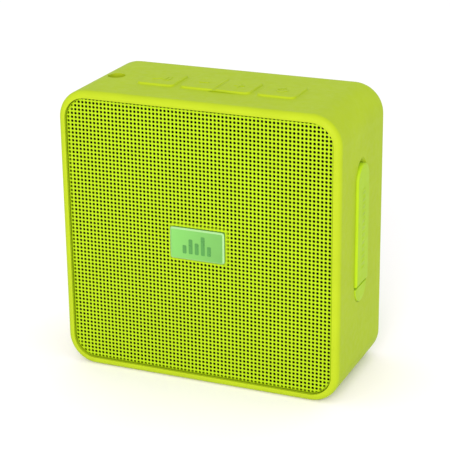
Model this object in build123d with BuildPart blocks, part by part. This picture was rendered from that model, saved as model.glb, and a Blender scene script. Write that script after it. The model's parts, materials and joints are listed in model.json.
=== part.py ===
"""Palm-sized square portable loudspeaker, modelled as its separate pieces.

Frame: millimetres, +X to the right, +Y to the back, +Z up. The origin is the centre of the flat
base, midway between the front rim and the back. The grille faces -Y.
"""
from build123d import *
import os
from math import cos, radians, sin

os.makedirs("parts", exist_ok=True)

# ------------------------------------------------------------------ driving dimensions
body_width = 88.0
body_height = 87.0
body_depth = 41.0
corner_radius = 9.0
rim_width = 2.2
rim_edge_radius = 1.8
back_edge_radius = 4.0
back_wall = 2.0
fit_gap = 0.15

front_y = -body_depth / 2
back_y = body_depth / 2
side_x = body_width / 2
mid_z = body_height / 2

opening_width = body_width - 2 * rim_width
opening_height = body_height - 2 * rim_width
opening_radius = corner_radius - rim_width

# depth of each layer, from the front to the back
grille_y = -19.8
grille_sheet = 0.6
grille_gap = 0.15
grille_skirt_y = -18.45
post_y = -19.1
cloth_y = -18.5
baffle_y = -18.2
baffle_thickness = 2.0
baffle_back_y = baffle_y + baffle_thickness
housing_front_y = -15.8
driver_y = housing_front_y
housing_back_y = 16.9
cover_flange_y = 17.3

# hard inner housing
housing_width = opening_width - 2 * fit_gap
housing_height = opening_height - 2 * fit_gap
housing_radius = opening_radius - fit_gap
housing_wall = 1.6
housing_lip = 1.6
inner_width = housing_width - 2 * housing_wall
inner_height = housing_height - 2 * housing_wall
inner_x = inner_width / 2
inner_top = mid_z + inner_height / 2
inner_bottom = mid_z - inner_height / 2

# rear cover and its window
window_width = 72.0
window_height = 71.4
window_radius = 5.0
cover_flange = 3.0
rear_screw_x = 31.5
rear_screw_z = 31.2
front_screw_x = 37.0
front_screw_z = 36.7

# badge
badge_width = 17.2
badge_height = 9.7
badge_front_y = -20.45
badge_rise = 0.3
badge_z = mid_z + badge_rise

# keys on the top
key_depth = 12.4
key_y = -1.4
key_shift = 0.4
key_rise = 0.6
key_edge_radius = 0.5
key_corner_radius = 1.8
key_flange_z = mid_z + opening_height / 2 - 0.65
key_flange = 0.6
key_travel = 0.4
side_key_width = 12.0
side_key_x = 19.0
middle_key_width = 10.9
middle_key_x = 5.6
key_well_z = key_flange_z - key_travel - 0.1
key_floor = 1.5
stem_radius = 2.0
board_top_z = 77.7
board_thickness = 1.2
switch_size = 6.0
switch_height = 3.1
plunger_radius = 1.7
plunger_top_z = board_top_z + switch_height + 1.1
button_screws = [(32.0, 0), (-26.5, 0)]

# lanyard tunnel in the top left corner
lanyard_radius = 2.7
lanyard_x = -34.0
lanyard_y = -1.2
lanyard_z = body_height - 10.6

# port flap on the right side
flap_y = -2.0
flap_width = 10.0
flap_radius = flap_width / 2
flap_top_z = 68.6
flap_hinge_z = 31.6
flap_hinge_gap = 0.8
flap_tail_z = 26.2
flap_floor_x = side_x - 1.0
flap_rise = 0.8
tail_rise = 0.3
port_width = 7.4
port_top_z = flap_top_z - flap_radius + port_width / 2
port_bottom_z = 38.0
port_face_x = 39.9
usb_z = 46.0
led_z = 52.6
jack_z = 59.2
jack_radius = 1.8
port_board_y = flap_y + 1.35

# full-range driver, on the y axis through the body's middle
basket_radius = 26.0
cone_travel = 1.0
driver_screw_radius = 24.4

# battery
cell_radius = 9.2
cell_length = 65.2
cell_y = 1.0
cell_z = inner_bottom + 1.3 + cell_radius

# main circuit board
main_board_y = 12.6
main_board_width = 54.0
main_board_height = 36.0
main_board_z = 55.0
main_screw_x = 24.0
main_screw_z = 15.0


# ------------------------------------------------------------------ helpers
def layer(y):
    """Plane across the body at depth y: local x is +X, local y is +Z, origin at mid height."""
    return Plane(origin=(0, y, mid_z), x_dir=(1, 0, 0), z_dir=(0, -1, 0))


def layer_at(y, x, z):
    """Plane across the body at depth y, with its origin at (x, z)."""
    return Plane(origin=(x, y, z), x_dir=(1, 0, 0), z_dir=(0, -1, 0))


def flat(z, x=0, y=0):
    """Level plane at height z, with its origin at (x, y)."""
    return Plane(origin=(x, y, z), x_dir=(1, 0, 0), z_dir=(0, 0, 1))


def side(x, y=0, z=0):
    """Plane facing +X at x: local x is +Y, local y is +Z, origin at (y, z)."""
    return Plane(origin=(x, y, z), x_dir=(0, 1, 0), z_dir=(1, 0, 0))


def driver_section():
    """Level half-plane through the driver's axis: local x is the radius, local y is +Y."""
    return flat(mid_z)


driver_axis = Axis((0, 0, mid_z), (0, 1, 0))


def ring_section(inner, outer, low_y, high_y):
    """Rectangle between two radii and two depths, for a revolved ring."""
    with Locations(((inner + outer) / 2, (low_y + high_y) / 2)):
        Rectangle(outer - inner, high_y - low_y)


def save(part, name):
    """Label a finished piece and write its STEP file."""
    part.part.label = name
    export_step(part.part, f"parts/{name}.step")


def four_corners(x, z):
    """The four corner places of a rectangle with half sizes x and z."""
    return [(x, z), (-x, z), (-x, -z), (x, -z)]


def flap_outline(low_z, high_z, width):
    """Upright slot outline with a round top end and a square bottom end, in a side plane."""
    radius = width / 2
    with BuildLine() as outline:
        Polyline((-radius, high_z - radius), (-radius, low_z), (radius, low_z), (radius, high_z - radius))
        ThreePointArc((radius, high_z - radius), (0, high_z), (-radius, high_z - radius))
    make_face(outline.edges())


def upright_slot(low_z, high_z, width):
    """Upright slot with two round ends, in a side plane."""
    with Locations((0, (low_z + high_z) / 2)):
        SlotOverall(high_z - low_z, width, rotation=90)


# ------------------------------------------------------------------ soft outer sleeve
key_places = {
    "play": (-side_key_x, side_key_width),
    "volume_down": (-middle_key_x, middle_key_width),
    "volume_up": (middle_key_x, middle_key_width),
    "power": (side_key_x, side_key_width),
}
middle_slot_width = 2 * middle_key_x + middle_key_width
key_slots = [(-side_key_x, side_key_width), (0, middle_slot_width), (side_key_x, side_key_width)]
notch_radius = 5.4
notch_x = side_x + 3.6
notch_z = flap_top_z - 2.4

with BuildPart() as outer_sleeve:
    with BuildSketch(layer(front_y)):
        RectangleRounded(body_width, body_height, corner_radius)
    extrude(amount=-body_depth)
    fillet(outer_sleeve.faces().sort_by(Axis.Y)[0].edges(), rim_edge_radius)
    fillet(outer_sleeve.faces().sort_by(Axis.Y)[-1].edges(), back_edge_radius)
    with BuildSketch(layer(front_y)):
        RectangleRounded(opening_width, opening_height, opening_radius)
    extrude(amount=-(body_depth - back_wall), mode=Mode.SUBTRACT)
    with BuildSketch(layer(back_y - back_wall)):
        RectangleRounded(window_width, window_height, window_radius)
    extrude(amount=-back_wall, mode=Mode.SUBTRACT)
    with BuildSketch(flat(body_height, key_shift, key_y)):
        for x, width in key_slots:
            with Locations((x, 0)):
                RectangleRounded(width + 2 * fit_gap, key_depth + 2 * fit_gap, key_corner_radius + fit_gap)
    extrude(amount=-2 * rim_width, mode=Mode.SUBTRACT)
    with BuildSketch(flat(body_height, lanyard_x, lanyard_y)):
        Circle(lanyard_radius)
    extrude(amount=-2 * rim_width, mode=Mode.SUBTRACT)
    with BuildSketch(side(-side_x, lanyard_y, lanyard_z)):
        Circle(lanyard_radius)
    extrude(amount=2 * rim_width, mode=Mode.SUBTRACT)
    with BuildSketch(side(flap_floor_x, flap_y)):
        upright_slot(flap_tail_z - fit_gap, flap_top_z + 0.25, flap_width + 2 * fit_gap)
    extrude(amount=rim_width, mode=Mode.SUBTRACT)
    with BuildSketch(side(flap_floor_x, flap_y)):
        upright_slot(port_bottom_z, port_top_z, port_width)
        with Locations((0, flap_tail_z + 2.5)):
            Circle(1.65)
    extrude(amount=-2 * rim_width, mode=Mode.SUBTRACT)
    with Locations((notch_x, flap_y, notch_z)):
        Sphere(notch_radius, mode=Mode.SUBTRACT)
save(outer_sleeve, "outer_sleeve")

# ------------------------------------------------------------------ hard inner housing
front_boss_radius = 3.0
rear_boss_radius = 2.9
rear_boss_y = 10.5
lip_opening = 66.0
port_rib_x = 27.0
port_rib_y = port_board_y + 1.05
port_rib_heights = [(32.5, 37.6), (67.0, 72.0)]
port_screw_x = 32.0
port_screw_z = [35.6, 69.2]
button_boss_radius = 2.8
well_overhang = 0.7

with BuildPart() as inner_housing:
    with BuildSketch(layer(housing_front_y)):
        RectangleRounded(housing_width, housing_height, housing_radius)
    extrude(amount=-(housing_back_y - housing_front_y))
    with BuildSketch(layer(housing_front_y)):
        RectangleRounded(inner_width, inner_height, housing_radius - housing_wall)
    extrude(amount=-(housing_back_y - housing_lip - housing_front_y), mode=Mode.SUBTRACT)
    with BuildSketch(layer(housing_back_y - housing_lip)):
        RectangleRounded(lip_opening, lip_opening, 3.0)
    extrude(amount=-housing_lip, mode=Mode.SUBTRACT)
    with BuildSketch(layer(housing_front_y)):
        with Locations(*four_corners(front_screw_x, front_screw_z)):
            Circle(front_boss_radius)
    extrude(amount=-7.0)
    with BuildSketch(layer(rear_boss_y)):
        with Locations(*four_corners(rear_screw_x, rear_screw_z)):
            Circle(rear_boss_radius)
    extrude(amount=-(housing_back_y - rear_boss_y))
    with BuildSketch(flat(key_well_z - key_floor, key_shift, key_y)):
        Rectangle(2 * side_key_x + side_key_width + 6, key_depth + 6)
    extrude(amount=inner_top - key_well_z + key_floor + 0.4)
    with BuildSketch(flat(key_well_z, key_shift, key_y)):
        for x, width in key_slots:
            with Locations((x, 0)):
                Rectangle(width + 2 * well_overhang, key_depth + 2 * well_overhang)
    extrude(amount=4.0, mode=Mode.SUBTRACT)
    with BuildSketch(flat(key_well_z, key_shift, key_y)):
        for x, width in key_places.values():
            with Locations((x, 0)):
                Circle(stem_radius + 0.3)
    extrude(amount=-2 * key_floor, mode=Mode.SUBTRACT)
    with BuildSketch(flat(board_top_z, 0, key_y)):
        with Locations(*button_screws):
            Circle(button_boss_radius)
    extrude(amount=inner_top - board_top_z + 0.4)
    for low_z, high_z in port_rib_heights:
        with BuildSketch(flat(low_z)):
            with Locations(((port_rib_x + inner_x + 0.4) / 2, port_rib_y + 1.6)):
                Rectangle(inner_x + 0.4 - port_rib_x, 3.2)
        extrude(amount=high_z - low_z)
    with BuildSketch(side(side_x, flap_y)):
        upright_slot(port_bottom_z, port_top_z, port_width)
        with Locations((0, flap_tail_z + 2.5)):
            Circle(1.65)
    extrude(amount=-(side_x - inner_x + 0.6), mode=Mode.SUBTRACT)
    with BuildSketch(flat(body_height, lanyard_x, lanyard_y)):
        Circle(lanyard_radius)
    extrude(amount=-(body_height - inner_top + 0.5), mode=Mode.SUBTRACT)
    with BuildSketch(side(-side_x, lanyard_y, lanyard_z)):
        Circle(lanyard_radius)
    extrude(amount=side_x - inner_x + 0.5, mode=Mode.SUBTRACT)
    with Locations(layer(housing_front_y)):
        with Locations(*four_corners(front_screw_x, front_screw_z)):
            Hole(0.85, depth=5.5)
    with BuildSketch(layer(housing_back_y)):
        with Locations(*four_corners(rear_screw_x, rear_screw_z)):
            Circle(0.85)
    extrude(amount=5.0, mode=Mode.SUBTRACT)
    with BuildSketch(flat(board_top_z, 0, key_y)):
        with Locations(*button_screws):
            Circle(0.65)
    extrude(amount=3.6, mode=Mode.SUBTRACT)
    for z in port_screw_z:
        with BuildSketch(layer_at(port_rib_y, port_screw_x, z)):
            Circle(0.65)
        extrude(amount=-2.6, mode=Mode.SUBTRACT)
save(inner_housing, "inner_housing")

# ------------------------------------------------------------------ lanyard anchor
anchor_inner_x = -29.9
anchor_width = 8.4
anchor_height = 10.5
anchor_outer_x = -inner_x + 0.05
anchor_top_z = inner_top - 0.05

with BuildPart() as lanyard_anchor:
    with BuildSketch(layer_at(lanyard_y - anchor_width / 2, 0, 0)):
        with Locations(((anchor_inner_x + anchor_outer_x) / 2, anchor_top_z - anchor_height / 2)):
            Rectangle(anchor_inner_x - anchor_outer_x, anchor_height)
    extrude(amount=-anchor_width)
    fillet(lanyard_anchor.edges().filter_by(Axis.Y).group_by(Axis.Z)[-1].sort_by(Axis.X)[0], 5.2)
    with BuildSketch(flat(body_height, lanyard_x, lanyard_y)):
        Circle(lanyard_radius)
    extrude(amount=lanyard_z - body_height, mode=Mode.SUBTRACT)
    with BuildSketch(side(-side_x, lanyard_y, lanyard_z)):
        Circle(lanyard_radius)
    extrude(amount=side_x + lanyard_x, mode=Mode.SUBTRACT)
    with Locations((lanyard_x, lanyard_y, lanyard_z)):
        Sphere(lanyard_radius, mode=Mode.SUBTRACT)
save(lanyard_anchor, "lanyard_anchor")

# ------------------------------------------------------------------ rear cover, seal and screws
cover_face_y = back_y - 0.2
cover_bore_radius = 1.1
head_recess_radius = 2.3
head_recess = 1.6
screw_head_y = cover_face_y - head_recess

with BuildPart() as rear_cover:
    with BuildSketch(layer(cover_flange_y)):
        RectangleRounded(
            window_width + 2 * cover_flange, window_height + 2 * cover_flange, window_radius + cover_flange
        )
    extrude(amount=-(back_y - back_wall - 0.05 - cover_flange_y))
    with BuildSketch(layer(cover_flange_y)):
        RectangleRounded(window_width - 0.4, window_height - 0.4, window_radius - 0.2)
    extrude(amount=-(cover_face_y - cover_flange_y))
    fillet(rear_cover.faces().sort_by(Axis.Y)[-1].edges(), 0.4)
    with BuildSketch(layer_at(main_board_y + board_thickness, 0, main_board_z)):
        with Locations(*four_corners(main_screw_x, main_screw_z)):
            Circle(2.5)
    extrude(amount=-(cover_flange_y - main_board_y))
    with BuildSketch(layer_at(main_board_y, 0, main_board_z)):
        with Locations(*four_corners(main_screw_x, main_screw_z)):
            Circle(0.75)
    extrude(amount=-5.4, mode=Mode.SUBTRACT)
    with BuildSketch(layer(cover_flange_y)):
        with Locations(*four_corners(rear_screw_x, rear_screw_z)):
            Circle(cover_bore_radius)
    extrude(amount=-5.0, mode=Mode.SUBTRACT)
    with BuildSketch(layer(screw_head_y)):
        with Locations(*four_corners(rear_screw_x, rear_screw_z)):
            Circle(head_recess_radius)
    extrude(amount=-2.0, mode=Mode.SUBTRACT)
save(rear_cover, "rear_cover")

with BuildPart() as rear_cover_seal:
    with BuildSketch(layer(housing_back_y)):
        RectangleRounded(76.8, 76.2, 7.4)
        RectangleRounded(72.8, 72.2, 5.4, mode=Mode.SUBTRACT)
    extrude(amount=-(cover_flange_y - housing_back_y))
save(rear_cover_seal, "rear_cover_seal")


def pan_screws(places, plane, head_radius, head_height, shank_radius, shank_length):
    """Pan-head screws at places on plane, heads standing on it and shanks running down from it."""
    with BuildPart() as screws:
        with BuildSketch(plane):
            with Locations(*places):
                Circle(head_radius)
        extrude(amount=head_height)
        fillet(screws.faces().filter_by(GeomType.PLANE).sort_by(plane_axis(plane))[-1 * len(places):].edges(),
               head_height * 0.4)
        with BuildSketch(plane):
            with Locations(*places):
                Circle(shank_radius)
        extrude(amount=-shank_length)
        with BuildSketch(plane.offset(head_height * 0.45)):
            with Locations(*places):
                Rectangle(head_radius * 1.1, head_radius * 0.26)
                Rectangle(head_radius * 0.26, head_radius * 1.1)
        extrude(amount=head_height, mode=Mode.SUBTRACT)
    return screws


def plane_axis(plane):
    """Axis along a plane's normal, for sorting faces."""
    return Axis(plane.origin, plane.z_dir)


def facing_back(y, x=0, z=mid_z):
    """Plane across the body at depth y that faces +Y: local x is -X, local y is +Z."""
    return Plane(origin=(x, y, z), x_dir=(-1, 0, 0), z_dir=(0, 1, 0))


rear_cover_screws = pan_screws(
    four_corners(rear_screw_x, rear_screw_z), facing_back(screw_head_y), 2.0, 1.3, 0.83, 6.0
)
save(rear_cover_screws, "rear_cover_screws")

# ------------------------------------------------------------------ front baffle, seal and screws
cloth_inset = grille_gap + grille_sheet + 0.1
post_margin = 0.75
post_width = badge_width + 2 * post_margin
post_height = badge_height + 2 * post_margin
cone_window_radius = 22.6
countersink_radius = 1.9
countersink_depth = 0.9
driver_screws_places = [
    (driver_screw_radius * cos(radians(angle)), driver_screw_radius * sin(radians(angle)))
    for angle in (45, 135, 225, 315)
]

with BuildPart() as front_baffle:
    with BuildSketch(layer(baffle_y)):
        RectangleRounded(opening_width - 0.6, opening_height - 0.6, opening_radius - 0.3)
    extrude(amount=-baffle_thickness)
    with BuildSketch(layer(baffle_y)):
        Circle(cone_window_radius)
    extrude(amount=-baffle_thickness, mode=Mode.SUBTRACT)
    with BuildSketch(layer_at(post_y, 0, badge_z)):
        RectangleRounded(post_width, post_height, 1.2)
    extrude(amount=-(baffle_back_y - 0.6 - post_y))
    with BuildSketch(layer(baffle_y)):
        for angle in (45, 135):
            Rectangle(2 * cone_window_radius + 2, 2.4, rotation=angle)
    extrude(amount=-1.0)
    with BuildSketch(layer(baffle_y)):
        with Locations(*four_corners(front_screw_x, front_screw_z)):
            Circle(1.05)
    extrude(amount=-baffle_thickness, mode=Mode.SUBTRACT)
    with Locations(layer(baffle_y)):
        with Locations(*four_corners(front_screw_x, front_screw_z)):
            CounterSinkHole(1.05, countersink_radius, depth=baffle_thickness)
    with BuildSketch(layer(baffle_back_y)):
        with Locations(*driver_screws_places):
            Circle(0.7)
    extrude(amount=1.2, mode=Mode.SUBTRACT)
save(front_baffle, "front_baffle")

with BuildPart() as baffle_seal:
    with BuildSketch(layer(baffle_back_y)):
        RectangleRounded(housing_width - 0.3, housing_height - 0.3, housing_radius - 0.15)
        RectangleRounded(inner_width + 0.4, inner_height + 0.4, housing_radius - housing_wall + 0.2,
                         mode=Mode.SUBTRACT)
    extrude(amount=-(housing_front_y - baffle_back_y))
save(baffle_seal, "baffle_seal")

with BuildPart() as baffle_screws:
    with BuildSketch(layer(baffle_y)):
        with Locations(*four_corners(front_screw_x, front_screw_z)):
            Circle(countersink_radius - 0.1)
    extrude(amount=-countersink_depth, taper=42)
    with BuildSketch(layer(baffle_y)):
        with Locations(*four_corners(front_screw_x, front_screw_z)):
            Circle(0.83)
    extrude(amount=-7.0)
    with BuildSketch(layer(baffle_y)):
        with Locations(*four_corners(front_screw_x, front_screw_z)):
            Rectangle(1.9, 0.45)
            Rectangle(0.45, 1.9)
    extrude(amount=-0.6, mode=Mode.SUBTRACT)
save(baffle_screws, "baffle_screws")

# ------------------------------------------------------------------ grille, cloth and badge
grille_width = opening_width - 2 * grille_gap
grille_height = opening_height - 2 * grille_gap
grille_radius = opening_radius - grille_gap

with BuildPart() as front_grille:
    with BuildSketch(layer(grille_y)):
        RectangleRounded(grille_width, grille_height, grille_radius)
    extrude(amount=-(grille_skirt_y - grille_y))
    fillet(front_grille.faces().sort_by(Axis.Y)[0].edges(), grille_sheet)
    with BuildSketch(layer(grille_y + grille_sheet)):
        RectangleRounded(
            grille_width - 2 * grille_sheet, grille_height - 2 * grille_sheet, grille_radius - grille_sheet
        )
    extrude(amount=-(grille_skirt_y - grille_y), mode=Mode.SUBTRACT)
    with BuildSketch(layer_at(grille_y, 0, badge_z)):
        RectangleRounded(badge_width + 0.4, badge_height + 0.4, 1.0)
    extrude(amount=-grille_sheet, mode=Mode.SUBTRACT)
save(front_grille, "front_grille")

with BuildPart() as grille_cloth:
    with BuildSketch(layer(cloth_y)):
        RectangleRounded(
            opening_width - 2 * cloth_inset, opening_height - 2 * cloth_inset, opening_radius - cloth_inset
        )
        with Locations((0, badge_rise)):
            RectangleRounded(post_width + 0.3, post_height + 0.3, 1.3, mode=Mode.SUBTRACT)
    extrude(amount=-(baffle_y - cloth_y))
save(grille_cloth, "grille_cloth")

with BuildPart() as badge_plate:
    with BuildSketch(layer_at(badge_front_y, 0, badge_z)):
        RectangleRounded(badge_width, badge_height, 0.8)
    extrude(amount=-(post_y - badge_front_y))
    chamfer(badge_plate.faces().sort_by(Axis.Y)[0].edges(), 0.4)
save(badge_plate, "badge_plate")

# ------------------------------------------------------------------ full-range driver
flange_thickness = 0.9
yoke_front_y = -5.0
yoke_back_y = 3.4
yoke_radius = 12.6
gap_radius = 10.4
magnet_radius = 8.2
pole_radius = 8.5
former_radius = 9.3
winding_radius = 9.9
cone_radius = 18.6
ledge_y = -8.7

with BuildPart() as driver_basket:
    with BuildSketch(driver_section()):
        with BuildLine():
            Polyline(
                (basket_radius, driver_y),
                (21.4, driver_y),
                (17.9, ledge_y - 0.7),
                (17.9, ledge_y),
                (15.4, ledge_y),
                (13.2, yoke_front_y - flange_thickness),
                (10.6, yoke_front_y - flange_thickness),
                (10.6, yoke_front_y),
                (13.7, yoke_front_y),
                (15.9, ledge_y + flange_thickness),
                (18.8, ledge_y + flange_thickness),
                (18.8, ledge_y - 0.5),
                (22.0, driver_y + flange_thickness),
                (basket_radius, driver_y + flange_thickness),
                close=True,
            )
        make_face()
    revolve(axis=driver_axis)
    with BuildSketch(layer(-14.0)):
        with PolarLocations(19.0, 4):
            Rectangle(9.0, 17.0)
    extrude(amount=-4.0, mode=Mode.SUBTRACT)
    with BuildSketch(layer(driver_y)):
        with Locations(*driver_screws_places):
            Circle(1.0)
    extrude(amount=-flange_thickness, mode=Mode.SUBTRACT)
save(driver_basket, "driver_basket")

with BuildPart() as driver_gasket:
    with BuildSketch(layer(baffle_back_y)):
        Circle(basket_radius - 0.1)
        Circle(cone_window_radius + 0.3, mode=Mode.SUBTRACT)
        with Locations(*driver_screws_places):
            Circle(1.0, mode=Mode.SUBTRACT)
    extrude(amount=-(driver_y - baffle_back_y))
save(driver_gasket, "driver_gasket")

with BuildPart() as driver_yoke:
    with BuildSketch(layer(yoke_front_y)):
        Circle(yoke_radius)
    extrude(amount=-(yoke_back_y - yoke_front_y))
    with BuildSketch(layer(yoke_front_y)):
        Circle(gap_radius)
    extrude(amount=-(yoke_back_y - 2.2 - yoke_front_y), mode=Mode.SUBTRACT)
    chamfer(driver_yoke.faces().sort_by(Axis.Y)[-1].edges(), 0.8)
save(driver_yoke, "driver_yoke")

with BuildPart() as driver_magnet:
    with BuildSketch(layer(-2.2)):
        Circle(magnet_radius)
    extrude(amount=-3.4)
save(driver_magnet, "driver_magnet")

with BuildPart() as driver_top_plate:
    with BuildSketch(layer(-4.4)):
        Circle(pole_radius)
    extrude(amount=-2.2)
    chamfer(driver_top_plate.faces().sort_by(Axis.Y)[0].edges(), 0.3)
save(driver_top_plate, "driver_top_plate")

with BuildPart() as driver_voice_coil:
    with BuildSketch(driver_section()):
        ring_section(former_radius - 0.2, former_radius, -11.6, -1.6)
        ring_section(former_radius, winding_radius, -5.2, -1.6)
    revolve(axis=driver_axis)
save(driver_voice_coil, "driver_voice_coil")

with BuildPart() as driver_cone:
    with BuildSketch(driver_section()):
        with BuildLine():
            Polyline(
                (former_radius, -11.0),
                (former_radius, -11.5),
                (17.2, -15.75),
                (cone_radius, -15.75),
                (cone_radius, -15.4),
                (17.3, -15.4),
                close=True,
            )
        make_face()
    revolve(axis=driver_axis)
save(driver_cone, "driver_cone")

cap_edge_y = -11.95
cap_radius = 10.0
dome_radius = 20.9
dome_y = cap_edge_y + (dome_radius**2 - cap_radius**2) ** 0.5
with BuildPart() as driver_dust_cap:
    with Locations((0, dome_y, mid_z)):
        Sphere(dome_radius)
        Sphere(dome_radius - 0.3, mode=Mode.SUBTRACT)
    with BuildSketch(layer(cap_edge_y)):
        Circle(cap_radius + 1)
    extrude(amount=cap_radius, mode=Mode.INTERSECT)
save(driver_dust_cap, "driver_dust_cap")

with BuildPart() as driver_surround:
    with BuildSketch(driver_section()):
        with BuildLine():
            Polyline((18.8, -15.8), (17.4, -15.8), (17.4, -16.1), (18.5, -16.1))
            ThreePointArc((18.5, -16.1), (20.05, -17.2), (21.6, -16.1))
            Polyline((21.6, -16.1), (22.7, -16.1), (22.7, -15.8), (21.3, -15.8))
            ThreePointArc((21.3, -15.8), (20.05, -16.85), (18.8, -15.8))
        make_face()
    revolve(axis=driver_axis)
save(driver_surround, "driver_surround")

spider_inner = former_radius + 0.15
spider_outer = 17.7
spider_thickness = 0.25
roll_count = 4
roll_height = 0.45
roll_pitch = (15.4 - spider_inner) / roll_count


def corrugations(y):
    """Alternating arcs from the coil out to the flat landing, about depth y."""
    for roll in range(roll_count):
        start = spider_inner + roll * roll_pitch
        crest = y + roll_height * (-1) ** roll
        ThreePointArc((start, y), (start + roll_pitch / 2, crest), (start + roll_pitch, y))


with BuildPart() as driver_spider:
    with BuildSketch(driver_section()):
        with BuildLine():
            corrugations(ledge_y)
            corrugations(ledge_y - spider_thickness)
            Line((spider_inner, ledge_y), (spider_inner, ledge_y - spider_thickness))
            Polyline(
                (15.4, ledge_y),
                (spider_outer, ledge_y),
                (spider_outer, ledge_y - spider_thickness),
                (15.4, ledge_y - spider_thickness),
            )
        make_face()
    revolve(axis=driver_axis)
save(driver_spider, "driver_spider")

terminal_y = driver_y + flange_thickness + 0.05
with BuildPart() as driver_terminals:
    with BuildSketch(layer_at(terminal_y, -27.0, mid_z)):
        RectangleRounded(8.0, 7.0, 0.6)
    extrude(amount=-1.0)
    with BuildSketch(layer_at(terminal_y + 1.0, -29.4, mid_z)):
        with Locations((0, 2.0), (0, -2.0)):
            Rectangle(2.6, 1.6)
    extrude(amount=-0.5)
save(driver_terminals, "driver_terminals")

driver_screws = pan_screws(
    driver_screws_places, facing_back(driver_y + flange_thickness), 1.6, 1.1, 0.66, 2.5
)
save(driver_screws, "driver_screws")


# ------------------------------------------------------------------ main board and its components
def main_board_plane(y):
    """Plane across the body at depth y, with its origin at the main board's middle."""
    return layer_at(y, 0, main_board_z)


with BuildPart() as main_board:
    with BuildSketch(main_board_plane(main_board_y)):
        RectangleRounded(main_board_width, main_board_height, 1.5)
        with Locations(*four_corners(main_screw_x, main_screw_z)):
            Circle(0.95, mode=Mode.SUBTRACT)
    extrude(amount=-board_thickness)
save(main_board, "main_board")

main_board_screws = pan_screws(
    four_corners(main_screw_x, main_screw_z), main_board_plane(main_board_y), 1.7, 1.1, 0.72, 4.6
)
save(main_board_screws, "main_board_screws")

with BuildPart() as bluetooth_module:
    with BuildSketch(main_board_plane(main_board_y)):
        with Locations((-10.5, 8.5)):
            Rectangle(13.0, 17.0)
    extrude(amount=0.8)
    with BuildSketch(main_board_plane(main_board_y - 0.8)):
        with Locations((-10.5, 6.3)):
            RectangleRounded(11.6, 11.6, 0.6)
    extrude(amount=1.8)
    fillet(bluetooth_module.faces().sort_by(Axis.Y)[0].edges(), 0.3)
save(bluetooth_module, "bluetooth_module")


def leaded_chip(x, z, width, height, thickness, lead_count):
    """Moulded chip on the main board, with a row of bent leads along its top and bottom sides."""
    lead_pitch = 1.27
    with BuildPart() as chip:
        with BuildSketch(main_board_plane(main_board_y - 0.1)):
            with Locations((x, z)):
                Rectangle(width, height)
        extrude(amount=thickness)
        chamfer(chip.faces().sort_by(Axis.Y)[0].edges(), 0.25)
        with BuildSketch(main_board_plane(main_board_y)):
            with Locations((x, z)):
                with GridLocations(lead_pitch, height + 1.1, lead_count, 2):
                    Rectangle(0.45, 1.3)
        extrude(amount=0.35)
    return chip


amplifier_chip = leaded_chip(5.0, 9.0, 10.0, 6.0, 1.6, 7)
save(amplifier_chip, "amplifier_chip")
charger_chip = leaded_chip(14.0, -8.5, 5.0, 4.0, 1.5, 4)
save(charger_chip, "charger_chip")

with BuildPart() as board_capacitors:
    with BuildSketch(main_board_plane(main_board_y)):
        with Locations((18.0, 9.8), (18.0, 2.6)):
            Circle(3.15)
    extrude(amount=6.4)
    fillet(board_capacitors.faces().sort_by(Axis.Y)[:2].edges(), 0.5)
save(board_capacitors, "board_capacitors")

with BuildPart() as power_inductors:
    with BuildSketch(main_board_plane(main_board_y)):
        with Locations((-12.0, -6.0), (4.6, 0.0)):
            RectangleRounded(5.0, 5.0, 0.8)
    extrude(amount=3.0)
    chamfer(power_inductors.faces().sort_by(Axis.Y)[:2].edges(), 0.4)
save(power_inductors, "power_inductors")

connector_height = 4.0
speaker_plug = (-24.2, -6.3)
battery_plug = (0.0, -15.4)
ribbon_plug = (12.6, 15.6)
port_plug = (22.8, -3.0)
with BuildPart() as board_connectors:
    with BuildSketch(main_board_plane(main_board_y)):
        with Locations(speaker_plug):
            Rectangle(4.4, 6.2)
        with Locations(battery_plug):
            Rectangle(6.2, 4.4)
    extrude(amount=connector_height)
    with BuildSketch(main_board_plane(main_board_y)):
        with Locations(ribbon_plug):
            Rectangle(9.6, 3.6)
    extrude(amount=2.0)
    with BuildSketch(main_board_plane(main_board_y)):
        with Locations(port_plug):
            Rectangle(2.6, 9.6)
    extrude(amount=2.6)
save(board_connectors, "board_connectors")

# ------------------------------------------------------------------ battery
cradle_x = 34.4
cradle_floor = 1.1
with BuildPart() as battery_cradle:
    with BuildSketch(flat(inner_bottom + 0.05, 0, cell_y)):
        Rectangle(2 * cradle_x, 16.6)
    extrude(amount=cradle_floor)
    with BuildSketch(flat(inner_bottom + 0.05, 0, cell_y)):
        with Locations((cradle_x - 0.7, 0), (-cradle_x + 0.7, 0), (19.0, 0), (-19.0, 0)):
            Rectangle(1.4, 16.6)
    extrude(amount=7.0)
    with BuildSketch(side(-cradle_x + 1.4, cell_y, cell_z)):
        Circle(cell_radius + 0.1)
    extrude(amount=2 * cradle_x - 2.8, mode=Mode.SUBTRACT)
save(battery_cradle, "battery_cradle")

with BuildPart() as battery_cell:
    with BuildSketch(side(-cell_length / 2, cell_y, cell_z)):
        Circle(cell_radius)
    extrude(amount=cell_length)
    fillet(battery_cell.edges().filter_by(GeomType.CIRCLE), 0.8)
save(battery_cell, "battery_cell")

wire_radius = 0.6


def wire(points, radii):
    """Round insulated wire along straight runs joined by tangent arcs, added to the open part."""
    with BuildLine() as route:
        FilletPolyline(*points, radius=radii)
    with BuildSketch(Plane(origin=route.line @ 0, z_dir=route.line % 0)) as profile:
        Circle(wire_radius)
    sweep(sections=profile.sketch, path=route.line)


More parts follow.
